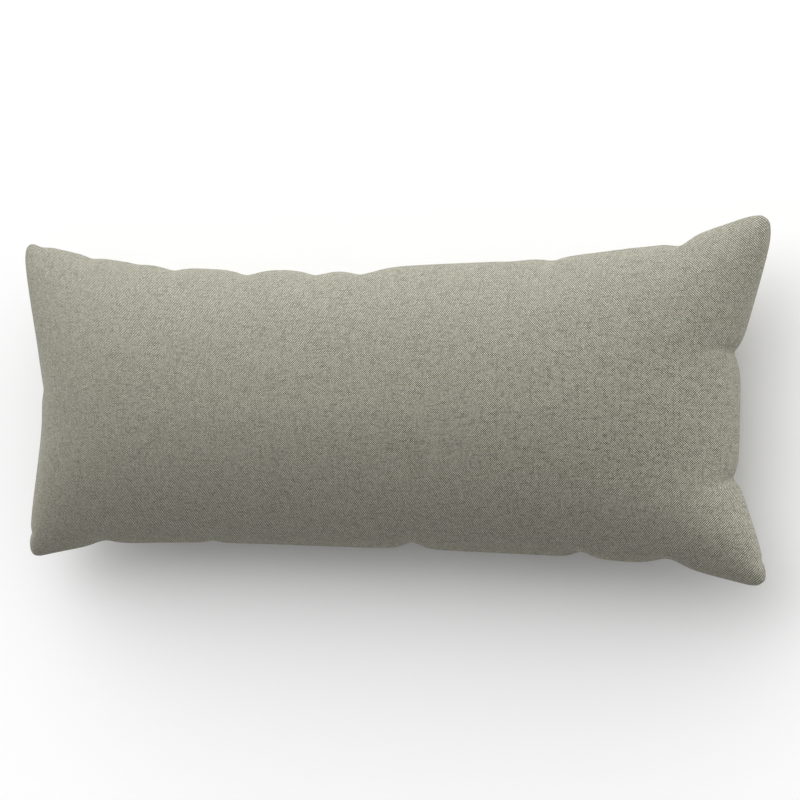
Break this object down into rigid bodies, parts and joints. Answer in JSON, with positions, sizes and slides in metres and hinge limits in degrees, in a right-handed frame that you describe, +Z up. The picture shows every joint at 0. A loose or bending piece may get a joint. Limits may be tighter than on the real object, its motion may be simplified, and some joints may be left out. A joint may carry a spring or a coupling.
{
  "type": "outdoor lumbar cushion",
  "caption": "Long filled cushion with a crowned face, drawn-in sides, soft corner ears and a puckered edge, lying on its back.",
  "frame": {"origin": "under the middle of the cushion, on the surface that its back lies on", "axes": "+X along the cushion's width, +Y along its height as it stands against a seat, +Z up out of its front panel"},
  "size_m": [0.7578, 0.2998, 0.129],
  "materials": {
    "cover": "matt heathered plain weave, sage grey"
  },
  "bodies": {
    "root": {"cushion": "cover"}
  },
  "joints": []
}
